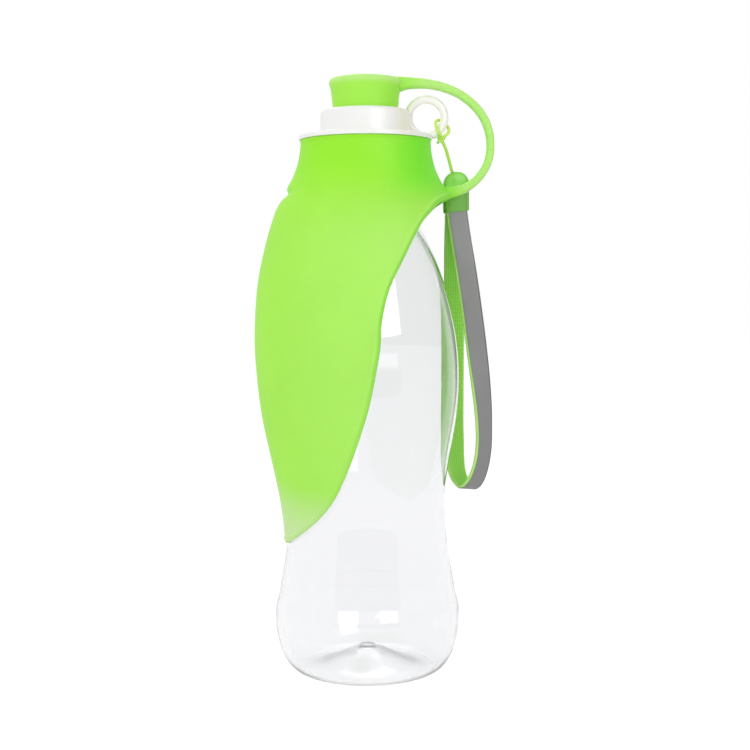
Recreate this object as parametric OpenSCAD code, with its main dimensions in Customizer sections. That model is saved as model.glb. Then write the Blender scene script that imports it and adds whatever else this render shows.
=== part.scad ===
// Travel water bottle for dogs: a clear bottle with a screw cap, whose soft collar carries a
// leaf-shaped drinking bowl folded down over the bottle, a stopper on a tether and a wrist strap.
// Origin: centre of the bottle's base, on the surface that it stands on. The bowl faces -X.

/* [Bottle] */
// Radius of the foot, at its widest
foot_r = 37.3; // [37:0.1:38]
// Radius of the waist
waist_r = 31.2; // [30:0.1:31.4]
// Radius of the shoulder, at its widest
shoulder_r = 37.2; // [36.6:0.1:37.6]
// Thickness of the bottle's wall
bottle_wall = 0.9; // [0.6:0.1:1.2]
// Radius of the ring that the bottle stands on, inner edge
punt_r = 20; // [18:1:24]
// Height of the hollow under the base
punt_h = 6; // [2:0.5:6]

/* [Neck and thread] */
// Outer radius of the neck
neck_r = 14.3; // [14:0.1:14.4]
// Inner radius of the neck
neck_bore_r = 12.7; // [12.6:0.1:12.9]
// Height of the neck's mouth above the base
neck_top = 219.7; // [219:0.1:219.7]
// Rise of the thread in one turn
thread_pitch = 4; // [3.6:0.1:4.4]
// Depth of the thread on the neck and in the cap
thread_depth = 0.95; // [0.6:0.05:1]
// Turns of thread
thread_turns = 1.75; // [1:0.25:2]

/* [Screw cap] */
// Outer radius of the spout band
band_r = 17.8; // [17.5:0.1:18]
// Height of the cap's top above the base
cap_top = 225.2; // [225:0.1:225.4]
// Outer radius of the flange that covers the collar
flange_r = 26.7; // [26.5:0.1:28]
// Radius of the spout's bore
spout_r = 12.5; // [12.3:0.05:12.5]
// Middle radius of the strap's ring
ring_r = 7.25; // [7.25:0.05:7.5]
// Radius of the ring's rod
ring_rod_r = 1.6; // [1.3:0.05:1.6]

/* [Bowl and collar] */
// Thickness of the soft wall
soft_wall = 2.2; // [1.8:0.1:2.4]
// Thickness of the bowl at its tip
tip_wall = 0.85; // [0.7:0.05:0.9]
// Distance that the bowl's widest point stands from the bottle's axis
bowl_r = 44.9; // [44.5:0.1:47]
// Height of the bowl's tip above the base
tip_z = 51.6; // [51.5:0.1:56]

/* [Stopper and tether] */
// Height of the stopper's crown above the base
crown_z = 239; // [238:0.5:240]
// Radius of the stopper's head
head_r = 14.5; // [14:0.1:14.6]
// Width of the tether
tether_w = 6; // [4:0.5:6]

/* [Wrist strap] */
// Diameter of the cord
cord_d = 1.2; // [1:0.1:1.3]
// Width of the webbing
webbing_w = 8.6; // [7:0.1:8.7]
// Thickness of the webbing
webbing_t = 1.4; // [0.8:0.1:1.4]
// Width of the reflective tape
tape_w = 8; // [6:0.5:8]

/* [Hidden] */
$fn = 96;
far = 70;

// bottle outline above the foot's corner: [radius, height]
foot_z = 22;
foot_corner_r = 26.6;
neck_foot_z = 192;
shoulder_z = 119;
bottle_knots = [
    [foot_r, foot_z], [36.3, 31], [33, 48], [waist_r, 67], [33, 84], [36.2, 103],
    [shoulder_r, shoulder_z], [35.7, 137], [31.1, 157], [24.7, 173], [17, 186],
    [14.7, 189.5], [neck_r, neck_foot_z]
];
base_t = 1.2;
neck_blend_z = 184;

// support bead under the cap
bead_z = 196.4;
bead_h = 2;
bead_r = 17.3;

// cap levels
hub_bottom = 199.2;
hub_r = 18.1;
hub_bead_r = 19.3;
hub_bead_z = 209.4;
flange_z = 213.3;
flange_t = 1.9;
thread_bore_r = 15.7;
roof_z = 221.5;
edge_r = 1.2;
ring_x = 24.3;
ring_z = 222.3;

// thread: its axial width at root and crest, and how far its root is sunk in the wall
thread_z = 205;
thread_root_w = 1.7;
thread_crest_w = 0.9;
thread_sink = 0.35;
turn_steps = 24;

// collar and bowl outline from the web's rim to the tip: [radius, height]
web_t = 2.3;
web_top = flange_z - 0.1;
web_bore_r = hub_r + 0.1;
groove_z = 191.9;
soft_knots = [
    [26.3, 211.6], [26.5, 207.5], [27.5, 203], [29.3, 198.4], [31.4, 194.3], [31.1, groove_z],
    [34, 189], [36.6, 184], [40.5, 171], [43.7, 155], [bowl_r, 136], [44.4, 122],
    [42.4, 104], [38.9, 87], [35.6, 70], [34.1, 58], [33.6, tip_z - 0.4]
];
tip_taper = 25;

// free edge of the bowl and the back skirt, seen from the side: [x, height]
edge_knots = [
    [-34, tip_z - 0.2], [-31.2, 53.9], [-27.6, 57.3], [-19.2, 65.6], [-12.9, 74], [-6.6, 87],
    [-1.8, 100], [1.7, 112], [4.5, 126], [6.6, 142], [10, 154], [15.3, 167], [21, 178],
    [26.2, 185.2], [30.2, 190.1], [34, 192.6]
];

// crease that the bowl folds on: a slanted plane through the hinge line in the groove
fold_x = -31.3;
fold_slope = 0.55;
fold_gap = 0.3;

// stopper
seat_r = 12.95;
plug_r = spout_r - 0.05;
plug_bottom = 212;
plug_tip_r = 11.4;
hollow_r = 9.4;
hollow_top = 232;

// tether's middle line, seen from the side: [x, height, thickness]
tether_knots = [
    [15.2, 236.1, 4.9], [18.5, 236.2, 4.6], [23.3, 236, 4.1], [28.1, 235.3, 3.8],
    [33.4, 233.6, 3.5], [38.6, 231, 3.4], [43.6, 226.8, 3.3], [47.2, 221.9, 3.2],
    [49.2, 216.7, 3.2], [49.8, 212, 3.1], [49.5, 207.2, 3.2], [47.9, 202.5, 3.2],
    [44.5, 197.8, 3.3], [40.3, 194.6, 3.6], [35.7, 193.1, 3.9], [31, 193, 5.4]
];

// cord: knot under the ring, loop round the ring's rod, and the drop to the clamp
knot = [30.3, 0.3, 214];
knot_r = 1.35;
tail_end = [28.7, -1, 212.2];
loop_points = [
    [30.2, -0.7, 214.6], [29.1, -2.3, 216], [28.3, -2, 218.2], [28, -0.6, 220.3],
    [28.7, 1.2, 221.4], [30.3, 2.4, 221.4], [32, 2.4, 220], [33.2, 0.9, 218],
    [33, -0.4, 216.3], [31.6, -0.9, 215], [30.6, -0.4, 214.3]
];
drop_points = [
    [30.9, 0.9, 212.6], [32.8, 3.1, 208.6], [34.6, 5.4, 204.9], [35.9, 6.8, 203],
    [36.6, 7.4, 201.8], [36.6, 7.4, 199], [36.6, 7.4, 195.8]
];
cord_sides = 8;

// clamp
clamp_at = [36.6, 7.4];
clamp_turn = 8;
clamp_w = 10.4;
clamp_t = 5.2;
clamp_bottom = 185.5;
clamp_top = 201.6;
clamp_corner = 1.6;
slot_w = webbing_w + 0.3;
tape_t = 0.2;
tape_glue = 0.05;
slot_t = 2 * (webbing_t + tape_glue + tape_t) + 0.4;
slot_top = 194.3;

// strap's middle line: [x, y, height, turn of its width from +X towards +Y]
strap_points = [
    [36.72, 6.56, 193.8, 8], [36.72, 6.56, 189.5, 8], [36.8, 6.56, 185.4, 8],
    [38.3, 6.6, 175, 11],
    [40, 6.6, 165, 9], [42.4, 7.1, 150, 8], [45.3, 7.8, 129, 20], [48, 8.6, 109, 38],
    [49.1, 9.4, 97, 47], [48.6, 10.3, 88, 46], [47.2, 11.8, 80.6, 43], [45, 14, 74.9, 41],
    [42.2, 16.6, 72.6, 38], [39.6, 19.1, 74.8, 34], [37.9, 20.9, 79.2, 28],
    [37, 21.8, 84.5, 20], [36.6, 22.3, 91, 14], [36.4, 22.5, 99, 10], [36.4, 22.3, 110, 8],
    [36.5, 21.4, 130, 8], [36.5, 18.4, 150, 8], [36.3, 13.8, 166, 8], [36.3, 10.2, 177, 8],
    [36.45, 8.24, 185.4, 8], [36.48, 8.24, 189.5, 8], [36.48, 8.24, 193.8, 8]
];

// ---- curves ----

function catmull(a, b, c, d, t) =
    0.5 * (2 * b + (c - a) * t + (2 * a - 5 * b + 4 * c - d) * t * t
        + (3 * b - a - 3 * c + d) * t * t * t);

// a smooth line through the points, with steps pieces between each two of them
function smooth(points, steps) =
    let (last = len(points) - 1)
    [
        for (i = [0 : last - 1])
            for (k = [0 : steps - 1])
                catmull(points[max(i - 1, 0)], points[i], points[i + 1],
                    points[min(i + 2, last)], k / steps),
        points[last]
    ];

function unit(v) = v / norm(v);

function reversed(list) = [for (i = [len(list) - 1 : -1 : 0]) list[i]];

// direction of travel at point i of a line
function heading(line, i) = unit(line[min(i + 1, len(line) - 1)] - line[max(i - 1, 0)]);

function blend_share(x) = let (t = min(1, max(0, x))) t * t * (3 - 2 * t);

// ---- swept solids ----

// faces of a tube of rings with the given number of corners, closed at both ends; the
// diagonals of opposite sides run the same way, so a flat ribbon keeps its thickness
function tube_faces(rings, corners) = concat(
    [
        for (i = [0 : rings - 2])
            for (k = [0 : corners - 1])
                let (a = i * corners + k, b = i * corners + (k + 1) % corners)
                each k < corners / 2
                    ? [[a, b, b + corners], [a, b + corners, a + corners]]
                    : [[a, b, a + corners], [b, b + corners, a + corners]]
    ],
    [for (k = [1 : corners - 2]) [0, k + 1, k]],
    [
        for (k = [1 : corners - 2])
            let (first = (rings - 1) * corners)
            [first, first + k, first + k + 1]
    ]
);

// round cord along a line; side is any direction that the line never runs along
module cord(line, side) {
    points = [
        for (i = [0 : len(line) - 1])
            let (
                ahead = heading(line, i),
                across = unit(cross(ahead, side)),
                up = cross(across, ahead)
            )
            for (k = [0 : cord_sides - 1])
                line[i] + cord_d / 2 * (across * cos(360 * k / cord_sides)
                    + up * sin(360 * k / cord_sides))
    ];
    polyhedron(points, tube_faces(len(line), cord_sides));
}

// flat ribbon along the strap's line, between two distances from its middle line
module ribbon(width, inner, outer) {
    line = smooth(strap_points, 3);
    spine = [for (p = line) [p[0], p[1], p[2]]];
    points = [
        for (i = [0 : len(line) - 1])
            let (
                across = [cos(line[i][3]), sin(line[i][3]), 0],
                outward = unit(cross(heading(spine, i), across))
            )
            for (corner = [[-1, outer], [1, outer], [1, inner], [-1, inner]])
                spine[i] + across * corner[0] * width / 2 + outward * corner[1]
    ];
    polyhedron(points, tube_faces(len(line), 4));
}

// screw thread standing out from radius root by depth; a negative depth points inwards
module thread(root, depth, start_z) {
    steps = turn_steps * thread_turns;
    foot = root - sign(depth) * thread_sink;
    points = [
        for (i = [0 : steps])
            let (
                angle = 360 * i / turn_steps,
                rise = start_z + thread_pitch * i / turn_steps,
                fade = min(1, i / 3, (steps - i) / 3),
                crest = root + depth * max(0.05, fade)
            )
            for (corner = [
                [foot, -thread_root_w], [crest, -thread_crest_w],
                [crest, thread_crest_w], [foot, thread_root_w]
            ])
                [corner[0] * cos(angle), corner[0] * sin(angle), rise + corner[1] / 2]
    ];
    faces = tube_faces(steps + 1, 4);
    polyhedron(points, depth > 0 ? faces : [for (f = faces) reversed(f)]);
}

// ---- pieces ----

function bottle_wall_at(z) =
    bottle_wall + (neck_r - neck_bore_r - bottle_wall)
        * blend_share((z - neck_blend_z) / (neck_foot_z - neck_blend_z));

function punt_curve(rise) = [
    for (k = [0 : 6])
        let (share = k / 6)
        [punt_r * share, rise + punt_h * (1 - share * share)]
];

function foot_corner(inset) = [
    for (t = [0 : 11.25 : 78.75])
        [
            foot_corner_r + (foot_r - foot_corner_r - inset) * sin(t),
            foot_z - (foot_z - (inset > 0 ? base_t : 0)) * cos(t)
        ]
];

module bottle_body() {
    side = smooth(bottle_knots, 4);
    outside = concat(
        punt_curve(0), foot_corner(0), side,
        [
            [neck_r, bead_z], [bead_r, bead_z + 0.4], [bead_r, bead_z + bead_h - 0.4],
            [neck_r, bead_z + bead_h], [neck_r, neck_top - 0.5], [neck_r - 0.5, neck_top]
        ]
    );
    inside = concat(
        [[neck_bore_r + 0.4, neck_top], [neck_bore_r, neck_top - 0.4]],
        reversed([for (p = side) [p[0] - bottle_wall_at(p[1]), p[1]]]),
        reversed(foot_corner(bottle_wall)),
        reversed(punt_curve(base_t))
    );
    color([0.9, 0.95, 0.93, 0.4]) {
        rotate_extrude() polygon(concat(outside, inside));
        thread(neck_r, thread_depth, thread_z);
    }
}

module screw_cap() {
    flange_top = flange_z + flange_t;
    rim = 0.6;
    color([0.96, 0.95, 0.92]) {
        difference() {
            union() {
                rotate_extrude() polygon(concat(
                    [
                        [spout_r, hub_bottom], [hub_r, hub_bottom], [hub_r, hub_bead_z - 0.5],
                        [hub_bead_r, hub_bead_z], [hub_bead_r, hub_bead_z + 0.8],
                        [hub_r, hub_bead_z + 1.4], [hub_r, flange_z],
                        [flange_r - rim, flange_z], [flange_r, flange_z + rim],
                        [flange_r, flange_top - rim], [flange_r - rim, flange_top],
                        [band_r, flange_top]
                    ],
                    [
                        for (t = [0 : 15 : 90])
                            [band_r - edge_r + edge_r * cos(t), cap_top - edge_r + edge_r * sin(t)]
                    ],
                    [[spout_r, cap_top]]
                ));
                translate([ring_x, 0, ring_z])
                    rotate([90, 0, 0])
                        rotate_extrude() translate([ring_r, 0]) circle(r = ring_rod_r, $fn = 32);
            }
            translate([0, 0, hub_bottom - 1])
                cylinder(r = thread_bore_r, h = roof_z - hub_bottom + 1);
            translate([0, 0, roof_z - 1]) cylinder(r = spout_r, h = cap_top - roof_z + 2);
        }
        thread(thread_bore_r, -thread_depth, thread_z + thread_pitch / 2);
    }
}

module cap_seal() {
    gap = 0.05;
    color([0.85, 0.87, 0.84])
        translate([0, 0, neck_top + gap])
            difference() {
                cylinder(r = thread_bore_r - 0.3, h = roof_z - neck_top - 2 * gap);
                translate([0, 0, -1]) cylinder(r = neck_bore_r + 0.2, h = 4);
            }
}

// thickness of the soft wall: it thins towards the bowl's tip
function soft_wall_at(z) = tip_wall + (soft_wall - tip_wall) * blend_share((z - tip_z) / tip_taper);

module soft_shell() {
    skin = smooth(soft_knots, 3);
    lining = [for (p = skin) if (p[1] < web_top - web_t) [p[0] - soft_wall_at(p[1]), p[1]]];
    rotate_extrude() polygon(concat(
        [[web_bore_r, web_top], [26.3 - 0.7, web_top], [26.3, web_top - 0.6]],
        skin,
        reversed(lining),
        [[26.5 - soft_wall, web_top - web_t], [web_bore_r, web_top - web_t]]
    ));
}

// a prism through the whole object, whose outline is drawn as seen from the side
module side_prism(outline) {
    rotate([90, 0, 0]) linear_extrude(2 * far, center = true) polygon(outline);
}

module inside_free_edge() {
    side_prism(concat(
        [[-far, tip_z - 8]], smooth(edge_knots, 3),
        [[far, 193], [far, web_top + 5], [-far, web_top + 5]]
    ));
}

module above_fold(lift) {
    drop = fold_slope * (far - fold_x);
    side_prism([
        [-far, groove_z + lift], [fold_x, groove_z + lift], [far, groove_z + lift - drop],
        [far, web_top + 5], [-far, web_top + 5]
    ]);
}

module below_fold(lift) {
    drop = fold_slope * (far - fold_x);
    side_prism([
        [-far, groove_z + lift], [-far, tip_z - 8], [far, tip_z - 8],
        [far, groove_z + lift - drop], [fold_x, groove_z + lift]
    ]);
}

module bowl_collar() {
    color([0.55, 0.93, 0.24])
        intersection() {
            soft_shell();
            inside_free_edge();
            above_fold(fold_gap / 2);
        }
}

module bowl_leaf() {
    color([0.62, 0.94, 0.32])
        intersection() {
            soft_shell();
            inside_free_edge();
            below_fold(-fold_gap / 2);
        }
}

module stopper_plug() {
    crown_r = 11.6;
    crown_drop = 1.4;
    shoulder = 2.4;
    color([0.6, 0.94, 0.35])
        rotate_extrude() polygon(concat(
            [for (k = [0 : 3]) let (s = k / 3) [crown_r * s, crown_z - crown_drop * s * s]],
            [
                for (t = [70 : -20 : 10])
                    [
                        head_r - shoulder * (1 - cos(t)) - 0.1,
                        crown_z - crown_drop - shoulder * (1 - sin(t)) + 0.1
                    ]
            ],
            [
                [head_r, crown_z - crown_drop - shoulder], [seat_r, cap_top + 0.1],
                [plug_r, cap_top + 0.1], [plug_r, roof_z + 0.2], [plug_r - 0.35, roof_z - 0.6],
                [plug_tip_r, plug_bottom + 0.7], [plug_tip_r - 0.7, plug_bottom],
                [hollow_r, plug_bottom], [hollow_r, hollow_top - 1], [hollow_r - 1, hollow_top],
                [0, hollow_top]
            ]
        ));
}

// outline of the tether, seen from the side, from its middle line and thickness
module stopper_tether() {
    line = smooth(tether_knots, 4);
    middle = [for (p = line) [p[0], p[1]]];
    function side_of(i, way) =
        let (ahead = heading(middle, i))
        middle[i] + way * line[i][2] / 2 * [-ahead[1], ahead[0]];
    outline = concat(
        [for (i = [0 : len(line) - 1]) side_of(i, 1)],
        [for (i = [len(line) - 1 : -1 : 0]) side_of(i, -1)]
    );
    color([0.68, 0.93, 0.45])
        rotate([90, 0, 0]) linear_extrude(tether_w, center = true) polygon(outline);
}

module cord_loop() {
    color([0.82, 0.95, 0.3]) cord(smooth(loop_points, 2), [0.8, 0, 0.6]);
}

module cord_knot() {
    run = tail_end - knot;
    color([0.78, 0.92, 0.26])
        translate(knot) {
            sphere(r = knot_r, $fn = 32);
            rotate([0, acos(run[2] / norm(run)), atan2(run[1], run[0])])
                cylinder(d = cord_d, h = norm(run), $fn = 24);
        }
}

module lanyard_cord() {
    color([0.82, 0.95, 0.3]) cord(smooth(drop_points, 1), [0, 1, 0.3]);
}

module lanyard_clamp() {
    dome_z = clamp_top - clamp_w / 2;
    inner_w = clamp_w - 2 * clamp_corner;
    inner_t = clamp_t - 2 * clamp_corner;
    color([0.42, 0.78, 0.28, 0.8])
        translate([clamp_at[0], clamp_at[1], 0])
            rotate(clamp_turn)
                difference() {
                    intersection() {
                        rotate([90, 0, 0]) linear_extrude(clamp_t + 2, center = true) {
                            translate([0, dome_z]) circle(d = clamp_w);
                            translate([-clamp_w / 2, clamp_bottom])
                                square([clamp_w, dome_z - clamp_bottom]);
                        }
                        translate([0, 0, clamp_bottom]) linear_extrude(clamp_top - clamp_bottom) {
                            square([inner_w, clamp_t], center = true);
                            square([clamp_w, inner_t], center = true);
                            for (x = [-1, 1])
                                for (y = [-1, 1])
                                    translate([x * inner_w / 2, y * inner_t / 2])
                                        circle(r = clamp_corner, $fn = 32);
                        }
                    }
                    translate([-slot_w / 2, -slot_t / 2, clamp_bottom - 1])
                        cube([slot_w, slot_t, slot_top - clamp_bottom + 1]);
                    translate([0, 0, slot_top + 1.3]) cylinder(d = cord_d + 0.1, h = 10, $fn = 32);
                }
}

module strap_webbing() {
    color([0.48, 0.78, 0.28]) ribbon(webbing_w, -webbing_t / 2, webbing_t / 2);
}

module reflective_tape() {
    inner = webbing_t / 2 + tape_glue;
    color([0.56, 0.56, 0.56]) ribbon(tape_w, inner, inner + tape_t);
}

bottle_body();
screw_cap();
cap_seal();
bowl_collar();
bowl_leaf();
stopper_plug();
stopper_tether();
cord_loop();
cord_knot();
lanyard_cord();
lanyard_clamp();
strap_webbing();
reflective_tape();
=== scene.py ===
"""Looks of the travel water bottle for dogs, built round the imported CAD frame.

Laid out as an add-on and run as a script. All sizes are metres, in the CAD's frame: the origin
is the centre of the bottle's base, +Z is up, the bowl hangs on the -X side, the strap on +X.
"""

import math

import bpy
import numpy as np
from bpy.props import FloatProperty, FloatVectorProperty, PointerProperty
from mathutils import Matrix, Vector


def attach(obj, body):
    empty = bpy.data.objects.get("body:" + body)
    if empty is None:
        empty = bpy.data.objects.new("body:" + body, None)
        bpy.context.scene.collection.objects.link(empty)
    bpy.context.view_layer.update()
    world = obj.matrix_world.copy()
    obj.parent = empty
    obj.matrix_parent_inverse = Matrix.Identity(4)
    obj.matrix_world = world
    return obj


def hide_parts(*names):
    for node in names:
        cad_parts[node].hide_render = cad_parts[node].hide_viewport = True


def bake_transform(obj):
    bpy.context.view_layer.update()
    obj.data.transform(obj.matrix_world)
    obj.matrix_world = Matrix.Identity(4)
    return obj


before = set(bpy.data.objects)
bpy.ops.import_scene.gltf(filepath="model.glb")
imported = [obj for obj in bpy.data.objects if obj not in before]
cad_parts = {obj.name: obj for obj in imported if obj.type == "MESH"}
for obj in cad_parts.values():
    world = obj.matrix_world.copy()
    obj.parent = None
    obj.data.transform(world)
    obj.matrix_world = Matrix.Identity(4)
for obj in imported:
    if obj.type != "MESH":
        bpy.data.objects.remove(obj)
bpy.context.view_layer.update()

bl_info = {
    "name": "Travel water bottle for dogs",
    "version": (1, 0, 0),
    "blender": (4, 5, 0),
    "location": "View3D > Sidebar > Bottle",
    "description": "Models the bottle, cap, drinking bowl, stopper and wrist strap",
    "category": "Object",
}

MM = 0.001
FULL_TURN = 2 * math.pi

# Outlines that the CAD part has too, in millimetres: (radius, height) or (x, height).
BOTTLE_KNOTS = [
    (37.3, 22), (36.3, 31), (33, 48), (31.2, 67), (33, 84), (36.2, 103), (37.2, 119),
    (35.7, 137), (31.1, 157), (24.7, 173), (17, 186), (14.7, 189.5), (14.3, 192),
]
# how fast the bottle's radius changes with height above its foot: (height, slope)
LOW_SLOPES = [
    (22, 0), (24.2, -0.02), (27, -0.26), (30.5, -0.26), (33, -0.155), (38, -0.172),
    (44, -0.172), (48, -0.145), (58, -0.085), (67, 0),
]
SOFT_KNOTS = [
    (25.95, 211.8), (26.45, 207.5), (27.5, 203), (29.3, 198.4), (31.4, 194.3), (31.1, 191.9),
    (34, 189), (36.6, 184), (40.5, 171), (43.7, 155), (44.9, 136), (44.4, 122), (42.4, 104),
    (38.9, 87), (35.4, 70), (33.85, 58), (33.4, 51.2),
]
# the bowl's free edge, seen from the side
EDGE_KNOTS = [
    (-34, 51.4), (-31.1, 53.9), (-27.35, 57.3), (-18.75, 65.6), (-12.45, 74), (-6.5, 87),
    (-1.8, 100), (1.7, 112), (4.5, 126), (5.4, 131), (5.85, 136), (6.2, 142), (9.05, 154),
    (15.3, 167), (21, 178), (24.6, 183), (27.2, 186.1), (28.9, 187.7), (30.7, 188.8),
    (32, 189.4), (34, 190.2),
]
# the tether's side view, from the stopper to the collar: (x, height, thickness)
TETHER_KNOTS = [
    (6, 236.1, 4.6), (10, 236, 4.8), (12.2, 235.85, 5.2), (13.8, 235.6, 5.7),
    (15.4, 235.8, 5), (17, 235.9, 4.6), (18.6, 235.9, 4.3), (23.3, 235.75, 3.8),
    (28.1, 235, 3.5), (33.4, 233.4, 3.3), (38.6, 230.8, 3.2), (43.6, 226.7, 3.2),
    (47.2, 221.9, 3.2), (49.2, 216.7, 3.2), (49.8, 212, 3.1), (49.5, 207.2, 3.2),
    (47.9, 202.5, 3.2), (44.5, 197.8, 3.3), (40.3, 194.6, 3.6), (37.4, 193.4, 3.9),
    (34.7, 192.7, 4.4), (32.7, 192.35, 5.1), (31.5, 192.1, 5.8), (30.5, 191.9, 6.5),
    (29.6, 191.8, 6.9),
]
# the cord round the ring's rod, and from its knot down to the clamp: (x, y, height)
LOOP_POINTS = [
    (30.2, -0.7, 214.6), (29.1, -2.3, 216), (28.3, -2, 218.2), (28, -0.6, 220.3),
    (28.7, 1.2, 221.4), (30.3, 2.4, 221.4), (32, 2.4, 220), (33.2, 0.9, 218),
    (33, -0.4, 216.3), (31.6, -0.9, 215), (30.6, -0.4, 214.3),
]
DROP_POINTS = [
    (30.9, 0.9, 212.7), (32.1, 2.5, 210.4), (33, 4.2, 207.8), (33.9, 5.6, 204.9),
    (34.9, 6.7, 201.4), (35.6, 7.2, 199), (35.8, 7.3, 196.4),
]
# middle of the strap's ring, the knot below it, and the end of the knot's tail
RING_AT = (24.3, 0, 222.3)
KNOT = (30.3, 0.3, 214)
TAIL_END = (28.7, -1, 212.2)
# strap's middle line: (x, y, height, turn of its width from +X towards +Y in degrees)
STRAP_POINTS = [
    (36.72, 6.56, 193.8, 8), (36.72, 6.56, 189.5, 8), (36.8, 6.56, 185.4, 8),
    (38.3, 6.6, 175, 10), (40, 6.6, 165, 8), (42.3, 7.1, 150, 8), (45.1, 7.8, 129, 11),
    (47.3, 8.6, 109, 31), (48, 9.4, 97, 41), (47.9, 10.3, 88, 42), (46.6, 11.8, 79.8, 40),
    (44.3, 14, 73.8, 36), (41.5, 16.6, 71.5, 33), (39, 19.1, 73.9, 31), (37.4, 20.9, 78.7, 27),
    (36.8, 21.8, 84.5, 20), (36.6, 22.3, 91, 14), (36.4, 22.5, 99, 10), (36.4, 22.3, 110, 8),
    (36.5, 21.4, 130, 8), (36.5, 18.4, 150, 8), (36.3, 13.8, 166, 8), (36.3, 10.2, 177, 8),
    (36.45, 8.24, 185.4, 8), (36.48, 8.24, 189.5, 8), (36.48, 8.24, 193.8, 8),
]
# the clamp's place (x, y) and its turn in degrees
CLAMP_AT = (36.6, 7.4)
CLAMP_TURN = 8
# where the tether leaves the collar: height, swelling, and the swelling's width and height
ROOT_AT, ROOT_SWELL, ROOT_WIDE, ROOT_HIGH = 192.2 * MM, 1.6 * MM, 4.6 * MM, 2.9 * MM
# across the bowl's lip: (distance in from the free edge, share of the bead's height)
LIP_STRIP = [
    (3.3, 0.0), (2.8, 0.08), (2.45, 0.4), (2.15, 0.85), (1.9, 1.0), (1.6, 0.85), (1.15, 0.3),
]
# name, place, what it points at, width, height, watts, the rays that it shows to
LAMPS = [
    ("key_lamp", (-0.42, -0.68, 0.4), (0, 0, 0.12), 0.6, 0.6, 2.0, "diffuse"),
    ("right_lamp", (0.55, -0.5, 0.16), (0.03, 0, 0.13), 0.4, 0.4, 0.8, "diffuse"),
    ("top_lamp", (-0.1, 0.1, 0.85), (0, 0, 0.12), 0.6, 0.6, 1.0, "diffuse"),
    ("right_box", (0.3, -0.48, 0.42), (0, 0, 0.14), 0.27, 0.28, 1.4, "glossy"),
    ("low_left_box", (-0.245, -0.56, 0.183), (0, 0, 0.03), 0.26, 0.06, 0.16, "glossy"),
    ("low_right_box", (0.275, -0.545, 0.183), (0, 0, 0.03), 0.25, 0.065, 0.14, "glossy"),
    ("back_box", (0, 0.5, 0.75), (0, 0, 0.02), 0.5, 0.3, 1.8, "glossy"),
]


# ---- sizes and colours that a user would change ----


def length(name, description, default):
    return FloatProperty(name=name, description=description, default=default, unit="LENGTH",
                         precision=5, min=0)


def colour(name, description, default):
    return FloatVectorProperty(name=name, description=description, default=default,
                               subtype="COLOR", size=3, min=0, max=1)


class BottleSizes(bpy.types.PropertyGroup):
    wall: length("Bottle wall", "Thickness of the clear wall", 0.0009)
    punt_radius: length("Punt radius", "Radius of the hollow under the base", 0.024)
    punt_height: length("Punt height", "Height of the hollow under the base", 0.008)
    soft_wall: length("Silicone wall", "Thickness of the collar and the bowl", 0.0022)
    tip_wall: length("Tip wall", "Thickness of the bowl at its tip", 0.00085)
    bead: length("Lip bead", "Height of the bead along the bowl's free edge", 0.00035)
    tether_width: length("Tether width", "Width of the stopper's tether", 0.006)
    cord: length("Cord diameter", "Diameter of the strap's cord", 0.00128)
    webbing_width: length("Webbing width", "Width of the wrist strap", 0.0088)
    webbing: length("Webbing thickness", "Thickness of the wrist strap", 0.0014)
    tape_width: length("Tape width", "Width of the reflective tape", 0.0077)


class BottleColours(bpy.types.PropertyGroup):
    clear: colour("Bottle", "Tint of the clear wall", (0.922, 0.922, 0.934))
    silicone: colour("Silicone", "Bowl", (0.39, 0.89, 0.062))
    # deeper green over the collar, and painted shade on the stopper's side and the tether's end
    # near it
    silicone_deep: colour("Deep silicone", "Collar and stopper", (0.338, 0.885, 0.033))
    # painted shade: the collar's cord side, darker and deeper green
    silicone_dim: colour("Dim silicone", "Collar on the cord's side", (0.19, 0.87, 0.025))
    # painted light: paler where light comes through thin silicone, a painted sheen on the bowl,
    # the stopper's lit top and the lip's painted highlight
    silicone_thin: colour("Thin silicone", "Where light comes through it", (0.62, 0.87, 0.38))
    # painted shade along the outer strip of the bowl's lip
    silicone_rim: colour("Silicone rim", "Outer edge of the bowl", (0.24, 0.72, 0.05))
    cap: colour("Cap", "Screw cap", (0.93, 0.925, 0.91))
    # painted warm reflection on the cap beside the ring
    cap_warm: colour("Cap by the ring", "Thicker plastic beside the ring", (0.93, 0.89, 0.76))
    # the ring's faint pink tint, made brighter than the cap as painted light
    cap_ring: colour("Ring", "The strap's ring on the cap", (1.0, 0.97, 0.93))
    seal: colour("Washer", "Washer inside the cap", (0.82, 0.84, 0.8))
    cord: colour("Cord", "Cord between ring and clamp", (0.68, 0.98, 0.14))
    clamp: colour("Clamp", "Cloudy green clamp on the strap", (0.33, 0.8, 0.12))
    webbing: colour("Webbing", "Ribbed wrist strap", (0.40, 0.9, 0.125))
    webbing_edge: colour("Webbing edge", "Woven edges of the strap", (0.62, 0.93, 0.3))
    tape: colour("Tape", "Reflective tape", (0.25, 0.25, 0.25))


# ---- lines and outlines ----


def smooth(points, steps):
    """The points as a smooth line, with steps pieces between each two of them."""
    knots = np.array(points, float)
    last = len(knots) - 1
    line = []
    for i in range(last):
        before, here = knots[max(i - 1, 0)], knots[i]
        ahead, after = knots[i + 1], knots[min(i + 2, last)]
        for step in range(steps):
            t = step / steps
            line.append(0.5 * (2 * here + (ahead - before) * t
                               + (2 * before - 5 * here + 4 * ahead - after) * t * t
                               + (3 * here - before - 3 * ahead + after) * t ** 3))
    line.append(knots[last])
    return np.array(line)


def unit(vectors):
    """The vectors, each made one long."""
    return vectors / np.linalg.norm(vectors, axis=-1, keepdims=True)


def headings(line):
    """Direction of travel at each point of a line."""
    return unit(np.concatenate([
        line[1:2] - line[:1], line[2:] - line[:-2], line[-1:] - line[-2:-1]]))


def blend_share(x):
    """0 below 0 and 1 above 1, smooth between them."""
    t = np.clip(x, 0, 1)
    return t * t * (3 - 2 * t)


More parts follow.
